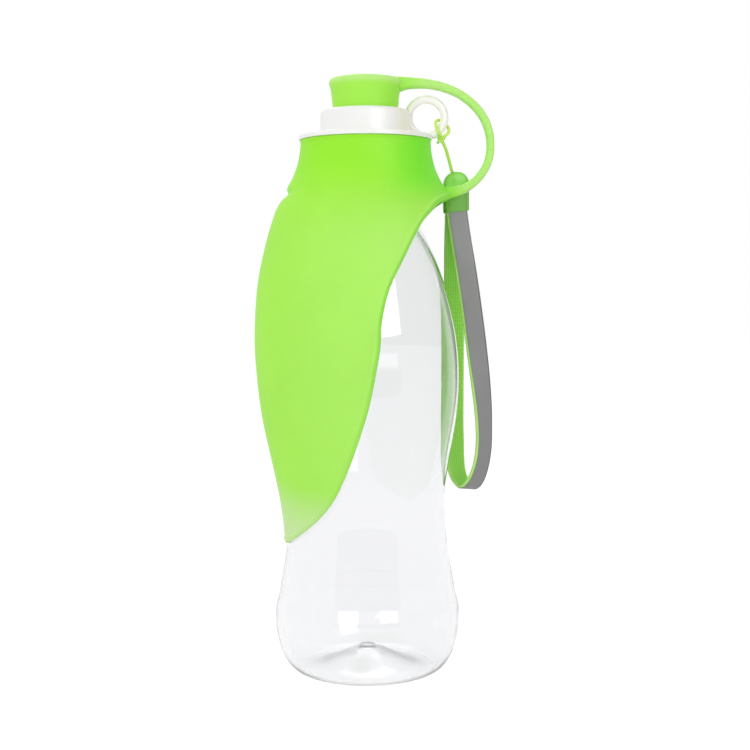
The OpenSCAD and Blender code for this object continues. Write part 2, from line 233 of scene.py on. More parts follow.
def ramp(value, start, end):
    """0 before start and 1 past end, smooth between them; start and end are millimetres."""
    return blend_share((value / MM - start) / (end - start))


def run_length(line):
    """Distance travelled along a line at each of its points."""
    return np.concatenate([[0], np.cumsum(np.linalg.norm(np.diff(line, axis=0), axis=1))])


def rounded_section(width, height, count, power=2.6):
    """Closed outline of a rounded box round the origin, first point repeated at the end."""
    turn = np.linspace(0, FULL_TURN, count + 1)
    c, s = np.cos(turn), np.sin(turn)
    return np.stack([np.sign(c) * np.abs(c) ** (2 / power) * width / 2,
                     np.sign(s) * np.abs(s) ** (2 / power) * height / 2], axis=1)


# ---- modelling ----


def deselect():
    """Leaves edit mode and selects nothing."""
    if bpy.context.mode != "OBJECT":
        bpy.ops.object.mode_set(mode="OBJECT")
    bpy.ops.object.select_all(action="DESELECT")


def choose(piece):
    """Selects one piece and makes it active."""
    deselect()
    piece.select_set(True)
    bpy.context.view_layer.objects.active = piece


def named(piece, name):
    piece.name = piece.data.name = name
    return piece


def close_mesh(piece):
    """Merges points that meet, turns the faces outwards and shades them smooth."""
    choose(piece)
    bpy.ops.object.mode_set(mode="EDIT")
    bpy.ops.mesh.select_all(action="SELECT")
    bpy.ops.mesh.remove_doubles(threshold=1e-6)
    bpy.ops.mesh.normals_make_consistent(inside=False)
    bpy.ops.object.mode_set(mode="OBJECT")
    bpy.ops.object.shade_smooth_by_angle(angle=math.radians(50))
    return piece


def lay_grid(name, points, **attributes):
    """A grid laid over rows of points. Each attribute is one number for each point."""
    rows, columns = points.shape[:2]
    deselect()
    bpy.ops.mesh.primitive_grid_add(x_subdivisions=columns - 1, y_subdivisions=rows - 1,
                                    size=1, calc_uvs=True)
    piece = named(bpy.context.object, name)
    piece.data.vertices.foreach_set("co", points.reshape(-1).astype(np.float32))
    for key, values in attributes.items():
        layer = piece.data.attributes.new(key, "FLOAT", "POINT")
        layer.data.foreach_set("value", values.reshape(-1).astype(np.float32))
    piece.data.update()
    return close_mesh(piece)


def places_of(piece):
    """Where the points of a piece's mesh are."""
    places = np.zeros(len(piece.data.vertices) * 3, np.float32)
    piece.data.vertices.foreach_get("co", places)
    return places.reshape(-1, 3)


def paint(piece, key, value_at):
    """Stores a number at each point of a piece, worked out from where the point is."""
    layer = piece.data.attributes.new(key, "FLOAT", "POINT")
    layer.data.foreach_set("value", value_at(places_of(piece)).astype(np.float32))


def spin_outline(name, outline, steps=128):
    """Draws an outline of (radius, height) by extruding a vertex, and spins it round the axis."""
    deselect()
    bpy.ops.mesh.primitive_plane_add(size=MM, location=(outline[0][0], 0, outline[0][1]))
    piece = named(bpy.context.object, name)
    bpy.ops.object.transform_apply(location=True, rotation=True, scale=True)
    bpy.ops.object.mode_set(mode="EDIT")
    bpy.ops.mesh.merge(type="CENTER")
    for here, ahead in zip(outline[:-1], outline[1:]):
        bpy.ops.mesh.extrude_region_move(TRANSFORM_OT_translate={
            "value": (ahead[0] - here[0], 0, ahead[1] - here[1])})
    bpy.ops.mesh.select_all(action="SELECT")
    bpy.ops.mesh.spin(steps=steps, angle=FULL_TURN, center=(0, 0, 0), axis=(0, 0, 1))
    bpy.ops.object.mode_set(mode="OBJECT")
    return close_mesh(piece)


def with_ends(rows):
    """Closes a tube with a point at each end."""
    first = np.repeat(rows[:1].mean(axis=1, keepdims=True), rows.shape[1], axis=1)
    last = np.repeat(rows[-1:].mean(axis=1, keepdims=True), rows.shape[1], axis=1)
    return np.concatenate([first, rows, last])


def put_finish(piece, material):
    piece.data.materials.clear()
    piece.data.materials.append(material)
    return piece


def add_modifier(piece, name, kind, **settings):
    """Adds a modifier and applies it."""
    choose(piece)
    modifier = piece.modifiers.new(name, kind)
    for key, value in settings.items():
        setattr(modifier, key, value)
    bpy.ops.object.modifier_apply(modifier=modifier.name)


# ---- finishes ----


class Value:
    """A number that varies over a surface. Arithmetic on it adds Math nodes."""

    def __init__(self, finish, socket):
        self.finish, self.socket = finish, socket

    def _maths(self, operation, first, second=0.0, clamp=False):
        node = self.finish.node("ShaderNodeMath", {"operation": operation, "use_clamp": clamp},
                                {0: first, 1: second})
        return Value(self.finish, node.outputs[0])

    def __add__(self, other):
        return self._maths("ADD", self, other)

    def __sub__(self, other):
        return self._maths("SUBTRACT", self, other)

    def __rsub__(self, other):
        return self._maths("SUBTRACT", other, self)

    def __mul__(self, other):
        return self._maths("MULTIPLY", self, other)

    __radd__ = __add__
    __rmul__ = __mul__

    def sine(self):
        return self._maths("SINE", self)

    def size(self):
        return self._maths("ABSOLUTE", self)

    def held(self):
        """The number held between 0 and 1."""
        return self._maths("ADD", self, 0.0, clamp=True)

    def between(self, low, high):
        """0 below low and 1 above high, smooth between them."""
        node = self.finish.node("ShaderNodeMapRange", {"interpolation_type": "SMOOTHSTEP"},
                                {"Value": self, "From Min": low, "From Max": high})
        return Value(self.finish, node.outputs["Result"])


class Finish:
    """One material, made from nodes."""

    def __init__(self, name):
        self.material = bpy.data.materials.new(name)
        self.material.use_nodes = True
        self.tree = self.material.node_tree
        self.tree.nodes.clear()

    def node(self, kind, settings=None, inputs=None):
        node = self.tree.nodes.new(kind)
        for key, value in (settings or {}).items():
            setattr(node, key, value)
        for key, value in (inputs or {}).items():
            if isinstance(value, Value):
                value = value.socket
            if isinstance(value, bpy.types.NodeSocket):
                self.tree.links.new(value, node.inputs[key])
            else:
                node.inputs[key].default_value = value
        return node

    def place(self):
        """Object coordinates."""
        return self.node("ShaderNodeTexCoord").outputs["Object"]

    def noise(self, scale, detail):
        node = self.node("ShaderNodeTexNoise", {}, {
            "Vector": self.place(), "Scale": scale, "Detail": detail})
        return Value(self, node.outputs["Fac"])

    def attribute(self, name):
        node = self.node("ShaderNodeAttribute", {"attribute_name": name})
        return Value(self, node.outputs["Fac"])

    def along_uv(self):
        """Shares of the way across and along, from the UV map."""
        node = self.node("ShaderNodeSeparateXYZ", {}, {
            0: self.node("ShaderNodeTexCoord").outputs["UV"]})
        return Value(self, node.outputs["X"]), Value(self, node.outputs["Y"])

    def mixed(self, share, first, second):
        """A colour between two others."""
        first, second = (tone if isinstance(tone, bpy.types.NodeSocket) else (*tone, 1)
                         for tone in (first, second))
        node = self.node("ShaderNodeMix", {"data_type": "RGBA"}, {0: share, 6: first, 7: second})
        return node.outputs[2]

    def bump(self, height, strength, distance):
        node = self.node("ShaderNodeBump", {}, {
            "Strength": strength, "Distance": distance, "Height": height})
        return node.outputs["Normal"]

    def surface(self, lets_light_past=0.0, **inputs):
        """The Principled shader, with its sockets named with underscores.

        lets_light_past is the share of lamp light that goes straight through.
        """
        named_inputs = {key.replace("_", " "): value for key, value in inputs.items()}
        shader = self.node("ShaderNodeBsdfPrincipled", {}, named_inputs)
        if lets_light_past:
            path = self.node("ShaderNodeLightPath")
            past = Value(self, path.outputs["Is Shadow Ray"]) + Value(
                self, path.outputs["Is Diffuse Ray"])
            shader = self.node("ShaderNodeMixShader", {}, {
                0: past.held() * lets_light_past, 1: shader.outputs[0],
                2: self.node("ShaderNodeBsdfTransparent").outputs[0]})
        self.out = self.node("ShaderNodeOutputMaterial", {}, {"Surface": shader.outputs[0]})
        return self.material


def shade(tone, factor):
    """A colour made darker or lighter."""
    return tuple(min(1.0, part * factor) for part in tone)


def clear_plastic(colours):
    """Blow-moulded clear wall, with faint ripples in it and a slightly frosted base."""
    finish = Finish("clear_plastic")
    ripple = finish.noise(28, 1.0) + finish.noise(90, 1.0) * 0.3
    material = finish.surface(
        lets_light_past=0.9,
        Base_Color=(*colours.clear, 1), Transmission_Weight=1.0, IOR=1.44,
        Roughness=finish.noise(60, 2.0) * 0.03 + 0.01 + finish.attribute("frost") * 0.13,
        Normal=finish.bump(ripple, 0.12, 0.0012))
    thick = finish.node("ShaderNodeVolumeAbsorption", {}, {
        "Color": (0.75, 0.8, 0.78, 1), "Density": 30})
    finish.tree.links.new(thick.outputs[0], finish.out.inputs["Volume"])
    return material


def silicone(colours):
    """Soft matte silicone with a fine grain: deeper green on the collar; painted shade on the
    collar's cord side and the stopper's side; paler where it is thin, on the bowl's front and on
    the stopper's top, as painted light; a painted highlight on the lip's bead and painted shade
    along the lip's edge.
    """
    finish = Finish("silicone")
    cloud = finish.noise(22, 3.0)
    body = finish.mixed(cloud.between(0.3, 0.7), shade(colours.silicone, 0.97),
                        shade(colours.silicone, 1.03))
    # deeper green over the collar, and painted shade on the stopper's side
    deep = finish.mixed(finish.attribute("deep") * 0.9, body, colours.silicone_deep)
    # painted shade on the collar's cord side
    deep = finish.mixed(finish.attribute("dim") * 0.8, deep, colours.silicone_dim)
    # painted light: paler where thin and on the bowl's front
    pale = finish.mixed(finish.attribute("pale"), deep, colours.silicone_thin)
    # painted highlight along the crest of the lip's bead
    ridge = finish.mixed(finish.attribute("ridge") * 0.17, pale, colours.silicone_thin)
    # painted shade along the lip's outer strip
    tone = finish.mixed(finish.attribute("rim") * 0.6, ridge, colours.silicone_rim)
    grain = finish.noise(900, 1.0) * 0.3 + finish.noise(300, 2.0) * 0.7
    return finish.surface(
        Base_Color=tone, Roughness=finish.noise(140, 3.0) * 0.14 + 0.42,
        Subsurface_Weight=0.3, Subsurface_Radius=(0.4, 1.0, 0.2), Subsurface_Scale=0.003,
        Specular_IOR_Level=0.2, Normal=finish.bump(grain, 0.1, 0.0002))


def soft_finish(colours):
    """The silicone, made once for all the pieces that are moulded from it."""
    return bpy.data.materials.get("silicone") or silicone(colours)


def cap_plastic(colours):
    """Satin injection-moulded white plastic."""
    finish = Finish("cap_plastic")
    tone = finish.mixed(finish.noise(45, 3.0).between(0.35, 0.65), shade(colours.cap, 0.985),
                        shade(colours.cap, 1.015))
    # painted warm reflection beside the ring
    tone = finish.mixed(finish.attribute("warm"), tone, colours.cap_warm)
    # the ring's faint pink tint, brighter than the cap as painted light
    tone = finish.mixed(finish.attribute("ring"), tone, colours.cap_ring)
    grain = finish.noise(2600, 2.0) + finish.noise(700, 1.0) * 0.5
    return finish.surface(
        Base_Color=tone, Roughness=finish.noise(220, 3.0) * 0.12 + 0.3,
        Subsurface_Weight=0.08, Subsurface_Radius=(1.0, 0.9, 0.7), Subsurface_Scale=0.002,
        Normal=finish.bump(grain, 0.06, 0.0002))


def washer_rubber(colours):
    """Dull pale rubber, a little uneven."""
    finish = Finish("washer_rubber")
    tone = finish.mixed(finish.noise(160, 3.0), shade(colours.seal, 0.94), colours.seal)
    return finish.surface(Base_Color=tone, Roughness=finish.noise(300, 2.0) * 0.2 + 0.5,
                          Normal=finish.bump(finish.noise(1500, 3.0), 0.15, 0.0003))


def clamp_plastic(colours):
    """Cloudy green plastic that lets light through, darker along the clamp's outline as painted
    shade.
    """
    finish = Finish("clamp_plastic")
    # painted shade: darker along the outline
    tone = finish.mixed(finish.attribute("rim"), colours.clamp, shade(colours.clamp, 0.5))
    return finish.surface(
        lets_light_past=0.75, Base_Color=tone, Transmission_Weight=0.62, IOR=1.4,
        Roughness=finish.noise(160, 2.0) * 0.1 + 0.2, Specular_IOR_Level=0.25,
        Normal=finish.bump(finish.noise(240, 2.0), 0.08, 0.0004))


def cord_braid(colours):
    """Braided cord: strands cross in a diamond pattern along it."""
    finish = Finish("cord_braid")
    round_it, along = finish.along_uv()
    strands_round, strands_along = FULL_TURN * 2, FULL_TURN * 26
    one_way = (round_it * strands_round + along * strands_along).sine()
    other_way = (round_it * strands_round - along * strands_along).sine()
    strands = (one_way * other_way * 0.5 + 0.5).held()
    tone = finish.mixed(strands, shade(colours.cord, 0.82), shade(colours.cord, 1.05))
    fuzz = finish.noise(3200, 2.0)
    return finish.surface(Base_Color=tone, Roughness=fuzz * 0.2 + 0.6, Sheen_Weight=0.3,
                          Normal=finish.bump(strands + fuzz * 0.3, 0.6, 0.0002))


def ribbed_webbing(colours):
    """Woven ribbon: lengthwise ribs crossed by the fine weft, and paler woven edges."""
    finish = Finish("ribbed_webbing")
    across, along = finish.along_uv()
    rib_count, weft_count = 9, 300
    ribs = (across * (FULL_TURN * rib_count)).sine() * 0.5 + 0.5
    weft = (along * (FULL_TURN * weft_count) + ribs * 1.5).sine() * 0.5 + 0.5
    edge = (across - 0.5).size().between(0.40, 0.47)
    weave = ribs * 0.65 + weft * 0.35
    worn = finish.noise(90, 3.0)
    inner = finish.mixed(weave, shade(colours.webbing, 0.78), shade(colours.webbing, 1.15))
    tone = finish.mixed(edge, finish.mixed(worn * 0.3, inner, colours.webbing),
                        colours.webbing_edge)
    fuzz = finish.noise(2800, 3.0)
    return finish.surface(Base_Color=tone, Roughness=fuzz * 0.2 + 0.62, Sheen_Weight=0.2,
                          Normal=finish.bump(weave + fuzz * 0.3, 0.5, 0.0002))


def reflective_tape(colours):
    """Grey reflective tape: tiny beads in a grey binder, darker along both edges as a painted edge
    shadow.
    """
    finish = Finish("reflective_tape")
    across = finish.along_uv()[0]
    beads = finish.noise(5200, 1.0)
    cloud = finish.noise(70, 3.0)
    edge = (across - 0.5).size().between(0.455, 0.495)
    tone = finish.mixed(beads * 0.5 + cloud * 0.5, shade(colours.tape, 0.88),
                        shade(colours.tape, 1.12))
    # painted edge shadow along both edges
    dark = finish.mixed(edge, tone, shade(colours.tape, 0.45))
    return finish.surface(Base_Color=dark, Roughness=cloud * 0.14 + 0.42, Metallic=0.15,
                          Normal=finish.bump(beads + cloud * 0.4, 0.25, 0.00012))


# ---- pieces ----


def make_bottle(sizes, colours):
    """The clear bottle: one closed wall with a hollow base, a gate mark and a support bead."""
    base_wall, neck_wall = 1.2 * MM, 1.6 * MM
    (foot_radius, foot), waist = BOTTLE_KNOTS[0], LOW_SLOPES[-1][0]
    low_z = np.concatenate([np.arange(foot, 34, 0.5), np.arange(34, waist, 1.5)])
    slope = np.interp(low_z, *zip(*LOW_SLOPES))
    steps = np.diff(low_z) * (slope[1:] + slope[:-1]) / 2
    low = np.stack([foot_radius + np.concatenate([[0], np.cumsum(steps)]), low_z], axis=1)
    side = smooth(BOTTLE_KNOTS, 8)
    side = np.concatenate([low, side[side[:, 1] > waist + 0.5]]) * MM

    def punt(lift):
        """The hollow under the base, as one swing of a cosine."""
        share = np.linspace(0, 1, 17)
        hollow = sizes.punt_height * (1 + np.cos(math.pi * share)) / 2
        return np.stack([sizes.punt_radius * share, lift + hollow], axis=1)

    def foot_corner(inset, lift):
        """The rounded corner between the base and the side."""
        turn = np.radians(np.linspace(0, 84, 22))
        start = 26.6 * MM
        reach = side[0][0] - start - inset
        return np.stack([start + reach * np.sin(turn),
                         foot * MM - (foot * MM - lift) * np.cos(turn)], axis=1)

    wall = sizes.wall + (neck_wall - sizes.wall) * ramp(side[:, 1], 184, 192)
    inner_side = side - np.stack([wall, 0 * wall], axis=1)
    neck, bead = side[-1][0] / MM, 17.3
    gate = (base_wall + sizes.punt_height) / MM
    neck_outline = np.array([
        (neck, 195.7), (neck + 0.5, 196.3), (bead - 0.3, 196.4), (bead, 196.7), (bead, 198.1),
        (bead - 0.3, 198.4), (neck + 0.5, 198.5), (neck, 199.1), (neck, 219.2),
        (neck - 0.15, 219.55), (neck - 0.5, 219.7), (13.1, 219.7), (12.8, 219.6),
        (12.7, 219.3)]) * MM
    outline = np.concatenate([
        punt(0), foot_corner(0, 0), side, neck_outline, inner_side[::-1],
        foot_corner(sizes.wall, base_wall)[::-1], punt(base_wall)[:2:-1],
        np.array([(3.2, gate - 0.35), (2.9, gate + 0.25), (1.2, gate + 0.3),
                  (0, gate + 0.3)]) * MM])
    outline[0][0] = outline[-1][0] = 0
    piece = spin_outline("bottle", outline, 160)
    paint(piece, "frost", base_frost)
    put_finish(piece, clear_plastic(colours))
    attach(piece, "bottle")
    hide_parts("bottle_body")
    return piece


def base_frost(places):
    """Share of frosting: the hollow base is duller than the wall."""
    from_axis = np.hypot(places[:, 0], places[:, 1])
    return ramp(places[:, 2], 12, 9) * ramp(from_axis, 33, 28)


def make_cap(colours):
    """White screw cap: spout band, flange, skirt and the strap's ring."""
    turn = np.radians(np.linspace(0, 90, 7))
    band = np.stack([15.9 + 2.1 * np.cos(turn), 223.4 + 1.8 * np.sin(turn)], axis=1)
    lip_turn = np.radians(np.linspace(0, 90, 5))
    bore_edge = np.stack([12.9 - 0.4 * np.sin(lip_turn), 224.8 + 0.4 * np.cos(lip_turn)], axis=1)
    rim_low = np.stack([26.45 + 0.25 * np.sin(lip_turn), 213.55 - 0.25 * np.cos(lip_turn)], axis=1)
    rim_top = np.stack([26.05 + 0.65 * np.cos(lip_turn), 214.55 + 0.65 * np.sin(lip_turn)], axis=1)
    outline = np.concatenate([
        [(15.7, 221.5), (15.7, 199.6), (16.1, 199.2), (17.7, 199.2), (18.1, 199.6),
         (18.1, 208.9), (19.1, 209.3), (19.3, 209.6), (19.3, 210.2), (18.1, 210.8),
         (18.1, 213.3)],
        rim_low, rim_top,
        [(19.2, 215.2), (18.5, 215.35), (18.1, 215.8), (18, 216.4)],
        band, bore_edge, [(12.5, 221.5), (15.7, 221.5)]]) * MM
    piece = spin_outline("screw_cap_piece", outline, 128)
    deselect()
    bpy.ops.mesh.primitive_torus_add(
        location=np.array(RING_AT) * MM, rotation=(math.pi / 2, 0, 0),
        major_segments=72, minor_segments=24, major_radius=7.2 * MM, minor_radius=1.65 * MM)
    ring = named(bpy.context.object, "ring_blank")
    bpy.ops.object.transform_apply(location=True, rotation=True, scale=True)
    add_modifier(piece, "ring", "BOOLEAN", operation="UNION", object=ring, solver="EXACT")
    bpy.data.objects.remove(ring)
    choose(piece)
    bpy.ops.object.shade_smooth_by_angle(angle=math.radians(40))
    # painted warm reflection on the band beside the ring
    paint(piece, "warm", lambda places: (
        0.7 * ramp(places[:, 0], 10, 15) * ramp(places[:, 0], 22, 17)))
    # the ring, painted brighter than the cap as painted light
    paint(piece, "ring", lambda places: (
        ramp(places[:, 0], 19, 23) * ramp(places[:, 2], 215.5, 216.5)))
    put_finish(piece, cap_plastic(colours))
    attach(piece, "top")
    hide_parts("screw_cap")
    return piece


def finish_washer(colours):
    """Gives the CAD's washer its rubber."""
    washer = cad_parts["cap_seal"]
    for slot in washer.material_slots:
        slot.material = washer_rubber(colours)


class SoftSurface:
    """The outside of the collar and the bowl, turned round the axis and cut at a free edge."""

    def __init__(self, sizes):
        self.sizes = sizes
        profile = smooth(SOFT_KNOTS, 12)[::-1] * MM
        groove_heights = (191.9, 194.3)
        plain = smooth([p for p in SOFT_KNOTS if p[1] not in groove_heights], 12)[::-1] * MM
        self.heights, self.radii = profile[:, 1], profile[:, 0]
        self.plain_heights, self.plain_radii = plain[:, 1], plain[:, 0]

    def radius(self, z, turn=0.0):
        """Radius at a height.

        The fold's groove fades out away from the -X side, and the tether's root swells at +X.
        """
        fade = blend_share((np.abs(turn) - math.radians(10)) / math.radians(30))
        notched = np.interp(z, self.heights, self.radii)
        even = notched + fade * (np.interp(z, self.plain_heights, self.plain_radii) - notched)
        aside = even * np.sin(turn) / ROOT_WIDE
        above = (z - ROOT_AT) / ROOT_HIGH
        root = np.exp(-aside ** 2 - above ** 2) * (np.cos(turn) < 0)
        return even + ROOT_SWELL * root

    def point(self, turn, z, lift=0.0):
        """A point at an angle from -X towards -Y, and its outward normal."""
        step = 0.4 * MM
        slope = (self.radius(z + step, turn) - self.radius(z - step, turn)) / (2 * step)
        scale = 1 / np.sqrt(1 + slope ** 2)
        out = np.stack([-np.cos(turn) * scale, -np.sin(turn) * scale, -slope * scale], axis=-1)
        r = self.radius(z, turn)
        place = np.stack([-np.cos(turn) * r, -np.sin(turn) * r, z], axis=-1)
        return place + out * lift, out

    def wall(self, z):
        """Thickness at a height: thinner towards the bowl's tip."""
        tip_wall, full_wall = self.sizes.tip_wall, self.sizes.soft_wall
        return tip_wall + (full_wall - tip_wall) * ramp(z, 51.6, 76.6)

    def free_edge(self, columns):
        """Angles and heights of the free edge, from the back past the tip and round again."""
        line = smooth(EDGE_KNOTS, 40) * MM
        clear_of_groove = 1.5
        cosine = -line[:, 0] / self.radius(line[:, 1], clear_of_groove)
        inside = np.abs(cosine) < 1
        turn, z = np.arccos(cosine[inside]), line[inside, 1]
        first, last = np.argmax(inside), len(inside) - np.argmax(inside[::-1]) - 1

        def crossing(a, b, level):
            """Height at which the cosine passes a level between two points."""
            share = (level - cosine[a]) / (cosine[b] - cosine[a])
            return line[a, 1] + share * (line[b, 1] - line[a, 1])

        turn = np.concatenate([[0], turn, [math.pi]])
        z = np.concatenate([[crossing(first - 1, first, 1)], z, [crossing(last, last + 1, -1)]])
        # columns follow the edge's length, and also its turn, so that the tip keeps enough
        measure = run_length(self.point(turn, z)[0]) + 30 * MM * turn
        wanted = np.linspace(0, measure[-1], columns // 2 + 1)
        half_turn, half_z = np.interp(wanted, measure, turn), np.interp(wanted, measure, z)
        return (np.concatenate([-half_turn[:0:-1], half_turn]),
                np.concatenate([half_z[:0:-1], half_z]))


def make_silicone(sizes, finish):
    """Collar and drinking bowl: one closed moulding with a beaded, rounded free edge."""
    surface = SoftSurface(sizes)
    turn, z = surface.free_edge(260)
    edge, out = surface.point(turn, z)
    along = headings(edge)
    along[0] = along[-1] = (0, -1, 0)
    inward = unit(np.cross(out, along))
    inward *= np.sign(inward[:, 2:3] + 1e-9)
    wall = surface.wall(z)

    def turns_of(places):
        """Angle of each place; the first and the last meet at the back."""
        turns = np.arctan2(-places[:, 1], -places[:, 0])
        turns[0], turns[-1] = -math.pi, math.pi
        return turns

    def at_edge(distance, lift):
        """Points at a distance in from the free edge, on the outside, and their normals."""
        moved = edge + inward * distance
        return surface.point(turns_of(moved), moved[:, 2], lift)

    inset = at_edge(LIP_STRIP[0][0] * MM, 0.0)[0]
    inset_turn, inset_z = turns_of(inset), inset[:, 2]

    top = 213.2
    web = [(18.2, top), (20, top), (22, top), (24, top), (25.7, top), (26.05, top - 0.06),
           (26.12, top - 0.4)]
    band_z = np.array([212.4, 211.6, 210.4, 209, 207.6, 206, 204.4, 202.8, 201.2, 199.8, 198.4,
                       197]) * MM
    fold_z = np.array([196.2, 195.5, 194.9, 194.4, 193.9, 193.4, 192.9, 192.4, 191.9, 191.4,
                       190.9, 190.4, 189.8, 189.1, 188.3, 187.5]) * MM
    start, bottom = band_z[-1], fold_z[-1]
    fold_end = np.maximum(bottom, start - 0.6 * (start - inset_z))
    bowl_rows = 62
    rows = np.array([
        *(np.full_like(inset_z, height) for height in band_z),
        *(start - (start - height) * (start - fold_end) / (start - bottom) for height in fold_z),
        *(fold_end + (inset_z - fold_end) * (step / bowl_rows)
          for step in range(1, bowl_rows + 1))])
    outside, normal = surface.point(np.repeat(inset_turn[None], len(rows), axis=0), rows)
    inside = outside - normal * surface.wall(rows)[..., None]

    beads = [(*at_edge(distance * MM, share * sizes.bead), share * sizes.bead)
             for distance, share in LIP_STRIP[1:]]
    bead_rows = np.array([place for place, _, _ in beads])
    inner_beads = np.array([place - out * (wall + lift)[:, None] for place, out, lift in beads])
    outer_last, inner_last = bead_rows[-1], inner_beads[-1]
    middle = (outer_last + inner_last) / 2
    lip_rows = np.array([
        middle + (outer_last - middle) * math.cos(angle)
        - inward * LIP_STRIP[-1][0] * MM * math.sin(angle)
        for angle in np.radians([22, 45, 68, 90, 112, 135, 158])])

    def ring(radius, height):
        """A level ring of points with the outside's angles."""
        return np.stack([-np.cos(inset_turn) * radius * MM, -np.sin(inset_turn) * radius * MM,
                         np.full_like(inset_turn, height * MM)], axis=-1)

    web_top = np.array([ring(*p) for p in web])
    under = [(23.9, 210.3), (23.4, 210.85), (22, 210.9), (20, 210.9), (18.4, 210.9),
             (18.2, 211.1), (18.2, 212), web[0]]
    web_under = np.array([ring(*p) for p in under])
    inner_rows = inside[::-1][rows[::-1, 0] < (under[0][1] - 0.5) * MM]
    points = np.concatenate([
        web_top, outside, bead_rows, lip_rows, inner_beads[::-1], inner_rows, web_under])
    distances = np.array([distance for distance, _ in LIP_STRIP[1:]])
    # painted highlight along the crest of the lip's bead
    ridge = np.exp(-((distances - 2.05) / 0.32) ** 2)
    # painted shade over the lip's outer strip
    rim = ramp(distances * MM, 1.9, 1.0)

    def spread(outer_share, lip_share, inner_share):
        """Shares on the bead outside, on the lip and on the bead inside, and 0 elsewhere."""
        shares = np.concatenate([
            np.zeros(len(web_top) + len(outside)), outer_share,
            np.full(len(lip_rows), lip_share), inner_share[::-1],
            np.zeros(len(inner_rows) + len(web_under))])
        return np.repeat(shares[:, None], points.shape[1], axis=1)

    x, z = points[..., 0], points[..., 2]
    # painted sheen: paler away from the -X side, below the collar
    free_side = blend_share(np.abs(inset_turn) / math.radians(85))[None, :] * ramp(z, 200, 170)
    # the painted highlight and shade on the lip fade towards the bottom
    high = 0.2 + 0.8 * ramp(z, 75, 145)
    piece = lay_grid("silicone_bowl", points,
                     # painted light: paler towards the thin tip, and the painted sheen
                     pale=np.maximum(ramp(z, 85, 57), 0.22 * free_side),
                     # deeper green over the collar; painted shade on the collar's cord side
                     deep=ramp(z, 186, 206), dim=ramp(x, 4, 22) * ramp(z, 184, 198),
                     ridge=spread(ridge, 0.0, np.zeros_like(ridge)) * high,
                     rim=spread(rim, 1.0, rim) * high)
    put_finish(piece, finish)
    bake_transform(piece)
    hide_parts("bowl_collar", "bowl_leaf")
    return piece


def make_stopper(finish):
    """Tapered silicone stopper with a low dome and a rounded rim."""
    turn = np.radians(np.linspace(78, -8, 11))
    rim = np.stack([12.5 + 2 * np.cos(turn), 235.8 + 2 * np.sin(turn)], axis=1)
    share = np.linspace(0, 1, 8)
    crown = np.stack([12.3 * share, 238.6 - 0.9 * share ** 2], axis=1)
    taper = smooth([(14.3, 235.1), (13.75, 232.6), (13.4, 229.6), (13.1, 227), (12.95, 225.3)], 4)
    outline = np.concatenate([
        crown, rim, taper,
        [(12.45, 225.3), (12.45, 221.9), (12.1, 220.9), (11.4, 212.7), (11.2, 212.2),
         (10.7, 212), (9.8, 212), (9.45, 212.3), (9.4, 213), (9.4, 231), (8.9, 231.8), (8.2, 232),
         (0, 232)]]) * MM
    piece = spin_outline("stopper", outline, 128)
    # painted shade: deeper green on the stopper's +X side, below its crown
    paint(piece, "deep", lambda places: (
        ramp(places[:, 2], 236.5, 232.5) * (0.1 + 0.65 * ramp(places[:, 0], 3, 12))))
    # painted light: paler all over, most on the stopper's top
    paint(piece, "pale", lambda places: 0.1 + 0.46 * ramp(places[:, 2], 234, 236.5))
    put_finish(piece, finish)
    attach(piece, "stopper")
    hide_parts("stopper_plug")
    return piece


def make_tether(sizes, finish):
    """Silicone band from the stopper round to the back of the collar, flared at both ends."""
    line = smooth(TETHER_KNOTS, 6) * MM
    middle = np.stack([line[:, 0], 0 * line[:, 0], line[:, 1]], axis=1)
    run = run_length(middle)
    near_stopper = np.exp(-np.maximum(run - 8 * MM, 0) / (1.8 * MM))
    near_collar = np.exp(-np.maximum(run[-1] - run - 1.5 * MM, 0) / (2 * MM))
    width = sizes.tether_width + 2.5 * MM * near_stopper + 3 * MM * near_collar
    up = np.cross(headings(middle), (0, 1, 0))
    rows = [centre + section[:, :1] * np.array([[0, 1, 0]]) + section[:, 1:] * normal
            for centre, normal, section in zip(middle, up, (
                rounded_section(w, d, 32, 3.4) for w, d in zip(width, line[:, 2])))]
    points = with_ends(np.array(rows))
    shape = points.shape[:2]
    run = np.concatenate([run[:1], run, run[-1:]])[:, None] + np.zeros(shape)
    rest = run[-1, 0] - run
    # painted light: paler where light comes through the thin band, fading at both ends
    pale = 0.48 * (0.3 + 0.7 * ramp(run, 9, 19)) * ramp(rest, 3, 12)
    # painted shade at both ends, matching the stopper's and the collar's shaded sides
    piece = lay_grid("tether", points, pale=pale, deep=0.5 * ramp(run, 14, 8),
                     dim=0.6 * ramp(rest, 9, 2))
    put_finish(piece, finish)
    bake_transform(piece)
    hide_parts("stopper_tether")
    return piece


def tube(name, path, radius, sides):
    """A round tube along a path, closed at its ends."""
    ahead = headings(path)
    normal = [np.cross(ahead[0], (0.3, 0.9, 0.1))]
    for a in ahead[1:]:
        carried = normal[-1] - a * np.dot(normal[-1], a)
        normal.append(carried / np.linalg.norm(carried))
    normal[0] = normal[0] / np.linalg.norm(normal[0])
    normal = np.array(normal)
    other = np.cross(ahead, normal)
    angle = np.linspace(0, FULL_TURN, sides + 1)
    rows = (path[:, None, :] + radius * (normal[:, None, :] * np.cos(angle)[None, :, None]
                                         + other[:, None, :] * np.sin(angle)[None, :, None]))
    return lay_grid(name, with_ends(rows))


def even_path(points, spacing):
    """The smooth line through the points, with points evenly spaced along it."""
    line = smooth(points, 12)
    run = run_length(line)
    wanted = np.linspace(0, run[-1], max(8, int(run[-1] / spacing)))
    return np.stack([np.interp(wanted, run, line[:, k]) for k in range(3)], axis=1)


